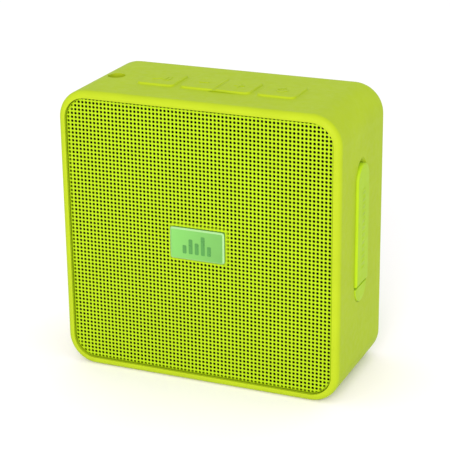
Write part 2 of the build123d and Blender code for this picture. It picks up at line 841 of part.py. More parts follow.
plug_z = main_board_z + battery_plug[1] - 2.4
with BuildPart() as battery_leads:
    for y_start, y_run, x_end in ((-0.2, 9.0, 1.4), (2.2, 10.6, -1.4)):
        wire(
            [
                (cell_length / 2, y_start, cell_z),
                (36.4, y_start, cell_z),
                (36.4, y_run, 26.0),
                (24.0, y_run, 30.5),
                (x_end, y_run, 30.5),
                (x_end, main_board_y - 2.0, plug_z),
            ],
            [1.6, 3.0, 6.0, 2.4],
        )
save(battery_leads, "battery_leads")

speaker_plug_z = main_board_z + speaker_plug[1]
with BuildPart() as speaker_leads:
    for z_offset in (1.7, -1.7):
        wire(
            [
                (-30.2, terminal_y + 1.55, mid_z + 1.2 * z_offset),
                (-30.2, -3.0, mid_z + 1.2 * z_offset),
                (-31.6, main_board_y - 2.2, speaker_plug_z + z_offset - 0.6),
                (speaker_plug[0] - 2.35, main_board_y - 2.2, speaker_plug_z + z_offset * 0.8),
            ],
            [6.0, 2.2],
        )
save(speaker_leads, "speaker_leads")

# ------------------------------------------------------------------ keys, switches and their board
button_board_left = -29.5
button_board_right = 35.2
with BuildPart() as button_board:
    with BuildSketch(flat(board_top_z, 0, key_y)):
        with Locations(((button_board_left + button_board_right) / 2, 0)):
            RectangleRounded(button_board_right - button_board_left, 11.0, 1.0)
        with Locations(*button_screws):
            Circle(0.85, mode=Mode.SUBTRACT)
    extrude(amount=-board_thickness)
save(button_board, "button_board")

under_board = Plane(
    origin=(0, key_y, board_top_z - board_thickness), x_dir=(1, 0, 0), z_dir=(0, 0, -1)
)
button_board_screws = pan_screws(button_screws, under_board, 1.6, 1.1, 0.62, 4.4)
save(button_board_screws, "button_board_screws")


def play_mark():
    """Triangle beside two bars, about 5 mm wide."""
    Polygon((-2.6, -1.7), (-2.6, 1.7), (0.2, 0), align=None)
    with Locations((1.1, 0), (2.3, 0)):
        Rectangle(0.6, 3.2)


def minus_mark():
    """Level bar."""
    Rectangle(3.0, 0.6)


def plus_mark():
    """Level bar crossed by an upright one."""
    Rectangle(3.0, 0.6)
    Rectangle(0.6, 3.0)


def power_mark():
    """Open ring with a bar in its gap."""
    Circle(1.9)
    Circle(1.35, mode=Mode.SUBTRACT)
    with Locations((0, 1.6)):
        Rectangle(1.5, 1.4, mode=Mode.SUBTRACT)
        Rectangle(0.55, 2.0)


key_marks = {"play": play_mark, "volume_down": minus_mark, "volume_up": plus_mark, "power": power_mark}
mark_rise = 0.15
flange_overhang = 0.45
cap_bottom_z = key_flange_z + key_flange
cap_top_z = body_height + key_rise
divider_gap = 0.3


def key_outline(x, overhang):
    """Outline of one key in a level plane at its middle: a full pad, or one half of the middle pad."""
    if abs(x) == middle_key_x:
        direction = x / abs(x)
        with Locations((-x, 0)):
            RectangleRounded(middle_slot_width + 2 * overhang, key_depth + 2 * overhang, key_corner_radius)
        cut_width = middle_slot_width
        with Locations((-x - direction * (cut_width / 2 - divider_gap / 2), 0)):
            Rectangle(cut_width, 2 * key_depth, mode=Mode.SUBTRACT)
    else:
        RectangleRounded(side_key_width + 2 * overhang, key_depth + 2 * overhang, key_corner_radius)


for name, (x, width) in key_places.items():
    place_x = x + key_shift
    with BuildPart() as key:
        with BuildSketch(flat(cap_bottom_z, place_x, key_y)):
            key_outline(x, 0)
        extrude(amount=cap_top_z - cap_bottom_z)
        fillet(key.faces().sort_by(Axis.Z)[-1].edges(), key_edge_radius)
        with BuildSketch(flat(key_flange_z, place_x, key_y)):
            key_outline(x, flange_overhang)
        extrude(amount=key_flange)
        with BuildSketch(flat(plunger_top_z, place_x, key_y)):
            Circle(stem_radius)
        extrude(amount=key_flange_z - plunger_top_z)
        with BuildSketch(flat(cap_top_z - 0.1, place_x, key_y)):
            key_marks[name]()
        extrude(amount=mark_rise + 0.1)
    save(key, name + "_key")

    with BuildPart() as switch:
        with BuildSketch(flat(board_top_z, place_x, key_y)):
            RectangleRounded(switch_size, switch_size, 0.4)
        extrude(amount=switch_height)
        with BuildSketch(flat(board_top_z + switch_height, place_x, key_y)):
            Circle(plunger_radius + 0.1)
        extrude(amount=-1.7, mode=Mode.SUBTRACT)
    save(switch, name + "_switch")

    with BuildPart() as plunger:
        with BuildSketch(flat(plunger_top_z - 2.0, place_x, key_y)):
            Circle(plunger_radius)
        extrude(amount=2.0)
    save(plunger, name + "_plunger")

ribbon_width = 8.0
ribbon_thickness = 0.3
ribbon_z = board_top_z - board_thickness - ribbon_thickness / 2 - 0.02
ribbon_y = main_board_y - 1.0
with BuildPart() as button_ribbon:
    with BuildLine() as ribbon_route:
        FilletPolyline(
            (ribbon_plug[0], 3.0, ribbon_z),
            (ribbon_plug[0], ribbon_y, ribbon_z),
            (ribbon_plug[0], ribbon_y, main_board_z + ribbon_plug[1] + 1.8),
            radius=2.2,
        )
    with BuildSketch(Plane(origin=ribbon_route.line @ 0, x_dir=(1, 0, 0), z_dir=(0, 1, 0))):
        Rectangle(ribbon_width, ribbon_thickness)
    sweep(path=ribbon_route.line)
save(button_ribbon, "button_ribbon")

# ------------------------------------------------------------------ port board, sockets and flap
port_board_left = 24.0
port_board_right = 39.6
port_board_low = 34.0
port_board_high = 70.5
port_board_thickness = 1.0
with BuildPart() as port_board:
    with BuildSketch(layer_at(port_board_y, 0, 0)):
        with Locations(((port_board_left + port_board_right) / 2, (port_board_low + port_board_high) / 2)):
            RectangleRounded(port_board_right - port_board_left, port_board_high - port_board_low, 1.0)
        with Locations((port_board_right - 6.7, jack_z)):
            Rectangle(13.7, 6.2, mode=Mode.SUBTRACT)
        for z in port_screw_z:
            with Locations((port_screw_x, z)):
                Circle(0.85, mode=Mode.SUBTRACT)
    extrude(amount=-port_board_thickness)
save(port_board, "port_board")

port_board_screws = pan_screws(
    [(port_screw_x, z) for z in port_screw_z], layer_at(port_board_y, 0, 0), 1.6, 1.1, 0.62, 3.4
)
save(port_board_screws, "port_board_screws")

usb_length = 5.6
usb_y = port_board_y - 1.32
with BuildPart() as usb_socket:
    with BuildSketch(side(port_face_x - usb_length, usb_y, usb_z)):
        RectangleRounded(2.6, 7.5, 0.5)
    extrude(amount=usb_length)
    with BuildSketch(side(port_face_x, usb_y, usb_z)):
        RectangleRounded(1.85, 6.9, 0.4)
    extrude(amount=-4.8, mode=Mode.SUBTRACT)
    with BuildSketch(side(port_face_x - usb_length, usb_y + 0.35, usb_z)):
        Rectangle(0.6, 5.0)
    extrude(amount=4.6)
save(usb_socket, "usb_socket")

jack_length = 13.4
with BuildPart() as aux_jack:
    with BuildSketch(side(port_face_x - jack_length, flap_y, jack_z)):
        RectangleRounded(5.0, 6.0, 0.4)
    extrude(amount=jack_length)
    with BuildSketch(side(port_face_x, flap_y, jack_z)):
        Circle(jack_radius)
    extrude(amount=-12.0, mode=Mode.SUBTRACT)
save(aux_jack, "aux_jack")

with BuildPart() as charge_led:
    with BuildSketch(layer_at(port_board_y, port_face_x - 1.0, led_z)):
        Rectangle(1.0, 1.8)
    extrude(amount=0.8)
save(charge_led, "charge_led")

with BuildPart() as port_ribbon:
    with BuildLine() as port_route:
        FilletPolyline(
            (28.6, port_board_y + 1.2, main_board_z + port_plug[1]),
            (port_plug[0], port_board_y + 1.2, main_board_z + port_plug[1]),
            (port_plug[0], main_board_y - 2.6, main_board_z + port_plug[1]),
            radius=2.0,
        )
    with BuildSketch(Plane(origin=port_route.line @ 0, x_dir=(0, 0, 1), z_dir=(-1, 0, 0))):
        Rectangle(ribbon_width, ribbon_thickness)
    sweep(path=port_route.line)
save(port_ribbon, "port_ribbon")

flap_inner_x = flap_floor_x + 0.05
flap_outer_x = side_x + flap_rise
flap_low_z = flap_hinge_z + flap_hinge_gap / 2
tail_high_z = flap_hinge_z - flap_hinge_gap / 2
tail_outer_x = side_x + tail_rise
jack_plug_radius = 2.4
plug_gap = 0.2
with BuildPart() as port_flap:
    with BuildSketch(side(flap_inner_x, flap_y)):
        flap_outline(flap_low_z, flap_top_z, flap_width)
    extrude(amount=flap_outer_x - flap_inner_x)
    fillet(port_flap.faces().sort_by(Axis.X)[-1].edges(), 0.5)
    with BuildSketch(side(flap_inner_x, flap_y)):
        with Locations((0, jack_z)):
            Circle(jack_plug_radius)
    extrude(amount=-(flap_inner_x - port_face_x - plug_gap))
    with BuildSketch(side(flap_inner_x, usb_y)):
        with Locations((0, usb_z)):
            RectangleRounded(3.2, 8.0, 0.8)
    extrude(amount=-(flap_inner_x - port_face_x - plug_gap))
save(port_flap, "port_flap")

with BuildPart() as flap_anchor:
    with BuildSketch(side(flap_inner_x, flap_y)):
        with BuildLine():
            Polyline(
                (-flap_radius, flap_tail_z + flap_radius),
                (-flap_radius, tail_high_z),
                (flap_radius, tail_high_z),
                (flap_radius, flap_tail_z + flap_radius),
            )
            ThreePointArc(
                (flap_radius, flap_tail_z + flap_radius), (0, flap_tail_z), (-flap_radius, flap_tail_z + flap_radius)
            )
        make_face()
    extrude(amount=tail_outer_x - flap_inner_x)
    fillet(flap_anchor.faces().sort_by(Axis.X)[-1].edges(), 0.3)
    with BuildSketch(side(flap_inner_x, flap_y, flap_tail_z + 2.5)):
        Circle(1.5)
    extrude(amount=-(flap_inner_x - inner_x + 1.4))
    with BuildSketch(side(inner_x - 0.1, flap_y, flap_tail_z + 2.5)):
        Circle(2.3)
    extrude(amount=-1.3, taper=20)
save(flap_anchor, "flap_anchor")

with BuildPart() as flap_hinge_web:
    with BuildSketch(side(flap_inner_x, flap_y, flap_hinge_z)):
        Rectangle(flap_width - 0.6, flap_hinge_gap - 0.1)
    extrude(amount=0.45)
save(flap_hinge_web, "flap_hinge_web")
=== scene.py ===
"""Looks for the square portable loudspeaker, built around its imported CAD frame."""
import json
import math
from collections import Counter

import bmesh
import bpy
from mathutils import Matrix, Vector
from mathutils.geometry import delaunay_2d_cdt


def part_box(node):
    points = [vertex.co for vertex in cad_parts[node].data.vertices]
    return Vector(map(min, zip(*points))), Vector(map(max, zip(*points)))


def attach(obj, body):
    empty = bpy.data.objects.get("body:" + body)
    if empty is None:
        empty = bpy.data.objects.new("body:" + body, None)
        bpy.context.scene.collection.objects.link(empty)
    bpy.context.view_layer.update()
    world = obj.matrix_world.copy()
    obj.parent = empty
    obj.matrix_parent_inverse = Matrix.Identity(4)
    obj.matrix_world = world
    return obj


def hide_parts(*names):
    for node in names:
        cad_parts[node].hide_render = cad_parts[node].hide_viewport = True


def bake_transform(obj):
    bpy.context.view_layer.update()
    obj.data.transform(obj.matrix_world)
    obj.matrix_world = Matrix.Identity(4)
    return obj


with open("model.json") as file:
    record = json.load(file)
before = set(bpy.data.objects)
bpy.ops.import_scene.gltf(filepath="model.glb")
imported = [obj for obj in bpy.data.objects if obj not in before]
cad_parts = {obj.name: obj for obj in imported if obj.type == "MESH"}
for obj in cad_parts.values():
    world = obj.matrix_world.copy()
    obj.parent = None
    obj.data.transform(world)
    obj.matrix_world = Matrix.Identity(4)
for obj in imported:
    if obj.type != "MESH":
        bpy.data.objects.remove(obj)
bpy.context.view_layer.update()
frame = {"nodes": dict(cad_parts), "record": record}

MM = 0.001
nodes = frame["nodes"]
slots = {part["node"]: part["material_slot"] for part in frame["record"]["subparts"]}


# ------------------------------------------------------------------ meshes
def finish_mesh(name, bm, material, smooth_angle=35):
    """Turn a bmesh into an object with one material, smooth up to an angle."""
    bmesh.ops.recalc_face_normals(bm, faces=bm.faces)
    mesh = bpy.data.meshes.new(name)
    bm.to_mesh(mesh)
    bm.free()
    obj = bpy.data.objects.new(name, mesh)
    bpy.context.scene.collection.objects.link(obj)
    mesh.materials.append(material)
    mesh.shade_smooth()
    mesh.set_sharp_from_angle(angle=math.radians(smooth_angle))
    return obj


def rounded_outline(half_u, half_v, radius, steps):
    """Points of a rounded rectangle about the origin, counter-clockwise."""
    points = []
    for sign_u, sign_v, start in ((1, 1, 0), (-1, 1, 90), (-1, -1, 180), (1, -1, 270)):
        for step in range(steps + 1):
            angle = math.radians(start + 90 * step / steps)
            points.append((
                sign_u * (half_u - radius) + radius * math.cos(angle),
                sign_v * (half_v - radius) + radius * math.sin(angle),
            ))
    return points


def stitch(bm, lower, upper):
    """Quads between two closed rings of the same length."""
    for i in range(len(lower)):
        j = (i + 1) % len(lower)
        bm.faces.new((lower[i], lower[j], upper[j], upper[i]))


def loft(bm, rings, closed=False):
    """Skin a stack of closed rings of points. The ends are capped, or joined if closed."""
    loops = [[bm.verts.new(point) for point in ring] for ring in rings]
    for lower, upper in zip(loops, loops[1:]):
        stitch(bm, lower, upper)
    if closed:
        stitch(bm, loops[-1], loops[0])
    else:
        bm.faces.new(loops[0])
        bm.faces.new(loops[-1])


# ------------------------------------------------------------------ materials
class Shader:
    """A node material being built: one Principled shader with its colour and bump trees."""

    def __init__(self, name):
        self.material = bpy.data.materials.new(name)
        self.material.use_nodes = True
        self.tree = self.material.node_tree
        self.principled = self.tree.nodes["Principled BSDF"]
        self.coords = self.add("ShaderNodeTexCoord").outputs["Object"]
        self.normal = None

    def add(self, kind, **values):
        node = self.tree.nodes.new(kind)
        for key, value in values.items():
            setattr(node, key, value)
        return node

    def link(self, source, target):
        self.tree.links.new(source, target)

    def set(self, **values):
        """Constants straight on the Principled sockets, with _ for the spaces in their names."""
        for key, value in values.items():
            self.principled.inputs[key.replace("_", " ")].default_value = value

    def place(self, scale_mm, stretch=(1, 1, 1)):
        """Object coordinates in units of scale_mm."""
        mapping = self.add("ShaderNodeMapping")
        mapping.inputs["Scale"].default_value = [s / (scale_mm * MM) for s in stretch]
        self.link(self.coords, mapping.inputs["Vector"])
        return mapping.outputs["Vector"]

    def noise(self, scale_mm, detail=3.0, stretch=(1, 1, 1)):
        """Noise whose features are about scale_mm across."""
        noise = self.add("ShaderNodeTexNoise")
        noise.inputs["Scale"].default_value = 1.0
        noise.inputs["Detail"].default_value = detail
        self.link(self.place(scale_mm, stretch), noise.inputs["Vector"])
        return noise.outputs["Fac"]

    def weave(self, scale_mm, direction):
        """Bands across one direction, for threads, windings and dashes."""
        wave = self.add("ShaderNodeTexWave", bands_direction=direction)
        wave.inputs["Scale"].default_value = 1.0
        wave.inputs["Distortion"].default_value = 0.4
        self.link(self.place(scale_mm), wave.inputs["Vector"])
        return wave.outputs["Fac"]

    def ramp(self, factor, low, high, start=0.3, end=0.7):
        """Turn a 0 to 1 factor into a grey or a colour between low and high."""
        ramp = self.add("ShaderNodeValToRGB")
        for element, position, value in zip(ramp.color_ramp.elements, (start, end), (low, high)):
            element.position = position
            element.color = (*(value if isinstance(value, tuple) else (value,) * 3), 1)
        self.link(factor, ramp.inputs["Fac"])
        return ramp.outputs["Color"]

    def colour(self, base, worn, amount):
        """Base colour that turns to the worn colour on convex edges."""
        geometry = self.add("ShaderNodeNewGeometry")
        edges = self.ramp(geometry.outputs["Pointiness"], 0.0, amount, 0.52, 0.60)
        mix = self.add("ShaderNodeMix", data_type="RGBA")
        self.link(edges, mix.inputs["Factor"])
        self.link(base, mix.inputs[6])
        mix.inputs[7].default_value = (*worn, 1)
        self.link(mix.outputs[2], self.principled.inputs["Base Color"])

    def band(self, factor, axis, centre_mm, half_mm):
        """Keep a factor only inside a band across one axis, and 0 elsewhere."""
        split = self.add("ShaderNodeSeparateXYZ")
        self.link(self.coords, split.inputs["Vector"])
        inside = self.add("ShaderNodeMath", operation="COMPARE")
        inside.inputs[1].default_value = centre_mm * MM
        inside.inputs[2].default_value = half_mm * MM
        self.link(split.outputs[axis], inside.inputs[0])
        product = self.add("ShaderNodeMath", operation="MULTIPLY")
        self.link(factor, product.inputs[0])
        self.link(inside.outputs["Value"], product.inputs[1])
        return product.outputs["Value"]

    def roughness(self, output):
        self.link(output, self.principled.inputs["Roughness"])

    def bump(self, height, strength, distance_mm):
        """Add a bump layer on top of those already there."""
        bump = self.add("ShaderNodeBump")
        bump.inputs["Strength"].default_value = strength
        bump.inputs["Distance"].default_value = distance_mm * MM
        self.link(height, bump.inputs["Height"])
        if self.normal is not None:
            self.link(self.normal, bump.inputs["Normal"])
        self.normal = bump.outputs["Normal"]
        self.link(self.normal, self.principled.inputs["Normal"])


def shade(colour, factor):
    """A colour made darker or lighter."""
    return tuple(min(1.0, c * factor) for c in colour)


def surface(
    name, colour, roughness, grain_mm, bump, spread=0.06, worn=1.2, wear=0.4, stretch=(1, 1, 1), **constants
):
    """General finish: mottled colour, uneven roughness, fine grain and worn edges."""
    s = Shader(name)
    mottle = s.noise(8.0, 2.0, stretch)
    base = s.ramp(mottle, shade(colour, 1 - spread), shade(colour, 1 + spread))
    s.colour(base, shade(colour, worn), wear)
    s.roughness(s.ramp(s.noise(2.0, 3.0, stretch), max(0.05, roughness - 0.05), min(1.0, roughness + 0.07)))
    s.bump(s.noise(grain_mm, 4.0, stretch), bump, 0.02)
    s.set(**constants)
    return s


def metal(name, colour, roughness, stretch=(1, 1, 1), bump=0.2):
    """Bare or plated metal with machining marks along one direction."""
    return surface(name, colour, roughness, 0.3, bump, 0.08, 1.25, 0.5, stretch, Metallic=1.0)


LIME = (0.345, 0.480, 0.008)
LIME_PAINT = (0.295, 0.475, 0.003)

# The flap's grip dashes, in mm. A wave texture 7 mm in scale makes one about every 2.2 mm.
DASH_WAVE = 7.0
DASH_HALF_WIDTH = 1.1
DASH_HALF_LENGTH = 12.5
DASH_DROP = 1.3
DASH_SKIN = 0.5


def sleeve_finish(name, colour):
    """Soft-touch silicone: even colour over a fine matte grain, with faint moulding waves."""
    s = surface(name, colour, 0.58, 0.16, 0.22, 0.025, 1.06, 0.3, Specular_IOR_Level=0.16)
    s.bump(s.noise(16.0, 1.0), 0.12, 0.05)
    return s


def flap_finish(name, colour):
    """Satin silicone with a column of small moulded grip dashes down the middle of the flap."""
    s = surface(name, colour, 0.5, 0.16, 0.2, 0.03, 1.1, 0.5, Specular_IOR_Level=0.16)
    low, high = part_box("port_flap")
    middle = (low + high) / 2 / MM
    column = s.band(s.weave(DASH_WAVE, "Z"), "Y", middle.y, DASH_HALF_WIDTH)
    dashes = s.band(column, "Z", middle.z - DASH_DROP, DASH_HALF_LENGTH)
    s.bump(s.band(dashes, "X", high.x / MM, DASH_SKIN), 1.0, 0.35)
    return s


def cloth_finish(name, colour):
    """Woven acoustic cloth."""
    s = surface(name, colour, 0.95, 0.2, 0.3, 0.2, 1.1, 0.1, Specular_IOR_Level=0.05)
    s.bump(s.weave(0.25, "X"), 0.6, 0.05)
    s.bump(s.weave(0.25, "Z"), 0.6, 0.05)
    return s


def wound_finish(name, colour, direction, scale_mm=0.25):
    """Lacquered copper windings or a dipped cloth with visible threads."""
    s = surface(name, colour, 0.4, 0.3, 0.1, 0.1)
    s.bump(s.weave(scale_mm, direction), 0.7, 0.06)
    return s


def board_finish(name, colour):
    """Solder mask over copper tracks."""
    s = surface(name, colour, 0.35, 0.8, 0.15, 0.12, Specular_IOR_Level=0.5, Coat_Weight=0.3)
    tracks = s.add("ShaderNodeTexBrick")
    tracks.inputs["Scale"].default_value = 1.0
    tracks.inputs["Mortar Size"].default_value = 0.03
    s.link(s.place(1.6), tracks.inputs["Vector"])
    s.bump(tracks.outputs["Fac"], 0.5, 0.05)
    return s


BRUSHED = (1, 1, 6)
finishes = {
    "sleeve_rubber": sleeve_finish("sleeve_soft_touch", LIME),
    "key_rubber": sleeve_finish("key_soft_touch", shade(LIME, 1.01)),
    "flap_rubber": flap_finish("flap_satin", (0.335, 0.535, 0.006)),
    "lime_plastic": surface("lime_moulding", (0.36, 0.53, 0.012), 0.45, 0.14, 0.3, Specular_IOR_Level=0.35),
    "dark_plastic": surface("dark_moulding", (0.03, 0.03, 0.034), 0.5, 0.14, 0.3),
    "grille_metal": surface(
        "grille_coat", LIME_PAINT, 0.42, 0.3, 0.15, 0.05, 1.35, 0.5, Specular_IOR_Level=0.15, Metallic=0.15
    ),
    "badge_metal": surface(
        "badge_anodised", (0.105, 0.31, 0.06), 0.34, 0.12, 0.2, 0.05, 1.9, 0.8,
        Metallic=0.35, Specular_IOR_Level=0.5,
    ),
    "cloth_black": cloth_finish("acoustic_cloth", (0.006, 0.006, 0.006)),
    "seal_foam": surface("closed_cell_foam", (0.03, 0.03, 0.03), 0.9, 0.35, 0.6),
    "screw_steel": metal("zinc_screw", (0.55, 0.55, 0.56), 0.32),
    "black_screw": metal("black_oxide_screw", (0.08, 0.08, 0.085), 0.4),
    "basket_steel": surface("black_e_coat", (0.03, 0.03, 0.035), 0.4, 0.4, 0.2, Coat_Weight=0.3),
    "motor_steel": metal("zinc_motor", (0.60, 0.60, 0.58), 0.35, BRUSHED),
    "magnet_nickel": metal("nickel_magnet", (0.70, 0.68, 0.63), 0.2),
    "cone_paper": surface("pressed_paper", (0.05, 0.05, 0.052), 0.85, 0.5, 0.7, 0.2),
    "cap_paper": surface("cap_paper", (0.035, 0.035, 0.037), 0.7, 0.3, 0.5, 0.15),
    "surround_rubber": surface("surround_butyl", (0.018, 0.018, 0.018), 0.45, 0.2, 0.2),
    "spider_cloth": wound_finish("spider_cotton", (0.50, 0.33, 0.12), "X", 0.3),
    "coil_copper": wound_finish("coil_windings", (0.62, 0.28, 0.10), "Y"),
    "board_green": board_finish("solder_mask", (0.015, 0.13, 0.05)),
    "chip_black": surface("moulded_epoxy", (0.02, 0.02, 0.022), 0.6, 0.15, 0.4),
    "shield_tin": metal("tin_shield", (0.62, 0.62, 0.60), 0.28, BRUSHED),
    "inductor_ferrite": surface("ferrite", (0.06, 0.06, 0.065), 0.55, 0.25, 0.5),
    "capacitor_aluminium": metal("bare_can", (0.66, 0.66, 0.68), 0.25),
    "connector_nylon": surface("natural_nylon", (0.72, 0.69, 0.60), 0.5, 0.2, 0.2),
    "cell_wrap": surface("shrink_wrap", (0.02, 0.12, 0.36), 0.3, 1.2, 0.3, Coat_Weight=0.4),
    "lead_insulation": surface("lead_pvc", (0.40, 0.02, 0.02), 0.4, 0.5, 0.2),
    "ribbon_film": surface("ribbon_film", (0.66, 0.66, 0.62), 0.3, 0.8, 0.1),
    "switch_metal": metal("switch_can", (0.60, 0.60, 0.58), 0.3, BRUSHED),
    "plunger_plastic": surface("plunger_nylon", (0.04, 0.04, 0.04), 0.5, 0.2, 0.2),
    "socket_steel": metal("socket_shell", (0.62, 0.62, 0.60), 0.22, BRUSHED),
    "led_lens": surface("led_lens", (0.80, 0.78, 0.66), 0.2, 0.5, 0.1, Transmission_Weight=0.4),
    "terminal_fibre": surface("phenolic_board", (0.28, 0.16, 0.07), 0.6, 0.3, 0.3),
}
for name, node in nodes.items():
    node.data.materials.clear()
    node.data.materials.append(finishes[slots[name]].material)


# ------------------------------------------------------------------ camera and stage
def make_camera():
    """Long-lens camera ahead of the grille, to the right and above."""
    data = bpy.data.cameras.new("camera")
    data.sensor_width = 36.0
    data.lens = 131.5
    data.clip_start = 0.01
    data.clip_end = 20.0
    camera = bpy.data.objects.new("camera", data)
    bpy.context.scene.collection.objects.link(camera)
    right = Vector((0.92030, 0.39103, -0.01148)).normalized()
    up = Vector((-0.12399, 0.31939, 0.93948)).normalized()
    back = right.cross(up)
    matrix = camera.matrix_world.copy()
    for row in range(3):
        matrix[row][0], matrix[row][1], matrix[row][2] = right[row], up[row], back[row]
    matrix.translation = Vector((184.44, -428.43, 213.30)) * MM
    camera.matrix_world = matrix
    bpy.context.scene.camera = camera


SPEAKER_MIDDLE = Vector((0, 0, 0.045))


def area_light(name, place, size, power, colour):
    """Square softbox at place, aimed at the middle of the speaker, in metres and watts."""
    data = bpy.data.lights.new(name, "AREA")
    data.shape = "SQUARE"
    data.size = size
    data.energy = power
    data.color = colour
    light = bpy.data.objects.new(name, data)
    bpy.context.scene.collection.objects.link(light)
    light.location = place
    light.rotation_euler = (SPEAKER_MIDDLE - Vector(place)).to_track_quat("-Z", "Y").to_euler()


def make_stage():
    """Pale floor, even white surroundings and two softboxes in front."""
    paper = Shader("floor_paper")
    tone = paper.ramp(paper.noise(60.0), 0.94, 0.96)
    paper.link(tone, paper.principled.inputs["Base Color"])
    paper.set(Roughness=0.95, Specular_IOR_Level=0.0)
    bm = bmesh.new()
    bmesh.ops.create_grid(bm, x_segments=1, y_segments=1, size=8.0)
    finish_mesh("floor", bm, paper.material)
    world = bpy.data.worlds.new("studio")
    world.use_nodes = True
    world.node_tree.nodes["Background"].inputs["Color"].default_value = (1, 1, 1, 1)
    world.node_tree.nodes["Background"].inputs["Strength"].default_value = 1.0
    bpy.context.scene.world = world
    area_light("front_softbox", (0.3, -1.1, 0.5), 0.6, 10.3, (1.0, 0.78, 0.92))
    area_light("low_softbox", (0.3, -1.2, 0.1), 0.5, 3.0, (1.0, 0.85, 0.9))


make_camera()
make_stage()
bpy.context.scene.view_settings.view_transform = "Standard"

# ------------------------------------------------------------------ perforated grille
HOLE_PITCH = 1.2 * MM
HOLE_REACH = 34
HOLE_RADIUS = 0.44 * MM
HOLE_SIDES = 8
HOLE_OVERRUN = 0.55 * MM
SHEET = 0.16 * MM
BEND = 0.5 * MM
CORNER = 6.65 * MM
CORNER_STEPS = 10
WINDOW_GAP = 0.2 * MM
WINDOW_CORNER = 1.0 * MM
MERGE_DISTANCE = 1e-7


def fold(u, v, half_u, half_v, corner):
    """Fold a point of the flat blank about the sheet's rounded rectangle.

    Returns its place (x, depth, z) on the front face and the direction into the sheet there.
    """
    inner_u, inner_v = half_u - corner, half_v - corner
    du, dv = abs(u) - inner_u, abs(v) - inner_v
    if du > 0 and dv > 0:
        reach = math.hypot(du, dv)
        out = (math.copysign(du / reach, u), math.copysign(dv / reach, v))
        past = reach - corner
    elif du - corner > dv - corner:
        out, past = (math.copysign(1, u), 0), du - corner
    else:
        out, past = (0, math.copysign(1, v)), dv - corner
    if past <= 0:
        return (u, 0, v), (0, 1, 0)
    turn = min(past / BEND, math.pi / 2)
    shift = BEND * math.sin(turn) - past
    depth = BEND * (1 - math.cos(turn)) + max(0, past - BEND * math.pi / 2)
    place = (u + out[0] * shift, depth, v + out[1] * shift)
    return place, (-out[0] * math.sin(turn), math.cos(turn), -out[1] * math.sin(turn))


def make_grille():
    """Folded sheet with a square grid of real holes and a window for the badge."""
    low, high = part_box("front_grille")
    badge_low, badge_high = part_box("badge_plate")
    middle = (low + high) / 2
    badge = (badge_low + badge_high) / 2 - middle
    half_u = (high.x - low.x) / 2 - BEND
    half_v = (high.z - low.z) / 2 - BEND
    corner = CORNER - BEND
    skirt = high.y - low.y - BEND
    edge = BEND * math.pi / 2 + skirt

    def within(u, v, limit):
        """Whether a point of the blank is less than limit past the flat field."""
        du, dv = abs(u) - (half_u - corner), abs(v) - (half_v - corner)
        reach = math.hypot(du, dv) if du > 0 and dv > 0 else max(du, dv)
        return reach - corner < limit

    points, faces, creases = [], [], []

    def polygon(outline, filled):
        """Add a closed outline as a filled region or only as a crease."""
        start = len(points)
        points.extend(Vector(p) for p in outline)
        loop = list(range(start, len(points)))
        if filled:
            faces.append(loop)
        else:
            creases.extend(zip(loop, loop[1:] + loop[:1]))

    polygon(rounded_outline(half_u + edge, half_v + edge, corner + edge, CORNER_STEPS), True)
    window_u = (badge_high.x - badge_low.x) / 2 + WINDOW_GAP
    window_v = (badge_high.z - badge_low.z) / 2 + WINDOW_GAP
    window = rounded_outline(window_u, window_v, WINDOW_CORNER, 4)
    polygon([(u + badge.x, v + badge.z) for u, v in window], True)
    for share in (0, 0.25, 0.5, 0.75, 1):
        past = BEND * math.pi / 2 * share
        polygon(rounded_outline(half_u + past, half_v + past, corner + past, CORNER_STEPS), False)
    for column in range(-HOLE_REACH, HOLE_REACH + 1):
        for row in range(-HOLE_REACH, HOLE_REACH + 1):
            u, v = column * HOLE_PITCH, row * HOLE_PITCH + badge.z
            if not within(u, v, HOLE_OVERRUN):
                continue
            if abs(u - badge.x) < window_u - HOLE_RADIUS and abs(v - badge.z) < window_v - HOLE_RADIUS:
                continue
            ring = [math.tau * (k + 0.5) / HOLE_SIDES for k in range(HOLE_SIDES)]
            polygon([(u + HOLE_RADIUS * math.cos(a), v + HOLE_RADIUS * math.sin(a)) for a in ring], True)

    flat, _, triangles, _, _, sources = delaunay_2d_cdt(points, creases, faces, 1, MERGE_DISTANCE, True)
    kept = [t for t, source in zip(triangles, sources) if list(source) == [0]]

    bm = bmesh.new()
    fronts, backs = {}, {}
    for index in {i for t in kept for i in t}:
        place, inward = fold(*flat[index], half_u, half_v, corner)
        front = Vector((middle.x, low.y, middle.z)) + Vector(place)
        fronts[index] = bm.verts.new(front)
        backs[index] = bm.verts.new(front + SHEET * Vector(inward))
    sides = Counter()
    for t in kept:
        bm.faces.new([fronts[i] for i in t])
        bm.faces.new([backs[i] for i in reversed(t)])
        for i in range(3):
            sides[frozenset((t[i], t[(i + 1) % 3]))] += 1
    for side, count in sides.items():
        if count == 1:
            i, j = side
            bm.faces.new((fronts[i], fronts[j], backs[j], backs[i]))
    return finish_mesh("perforated_grille", bm, finishes["grille_metal"].material, 50)


grille = make_grille()
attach(grille, "speaker")
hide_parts("front_grille")


# ------------------------------------------------------------------ badge mark and bevel
BAR_WIDTH = 1.25 * MM
BAR_STEP = 1.95 * MM
BAR_HEIGHTS = (2.6, 4.6, 3.6, 5.8, 3.0)
BAR_FLOOR = -2.9 * MM
BAR_CORNER = 0.35 * MM
BAR_ROOT = 0.2 * MM
BAR_RISE = 0.02 * MM
BADGE_CORNER = 0.8
# The bevel's closed section in mm: inset from the badge's side and depth behind its front.
BEVEL_SECTION = ((-0.02, 0.45), (-0.02, 0.36), (0.36, -0.02), (0.44, -0.02), (0.44, 0.05), (0.10, 0.45))


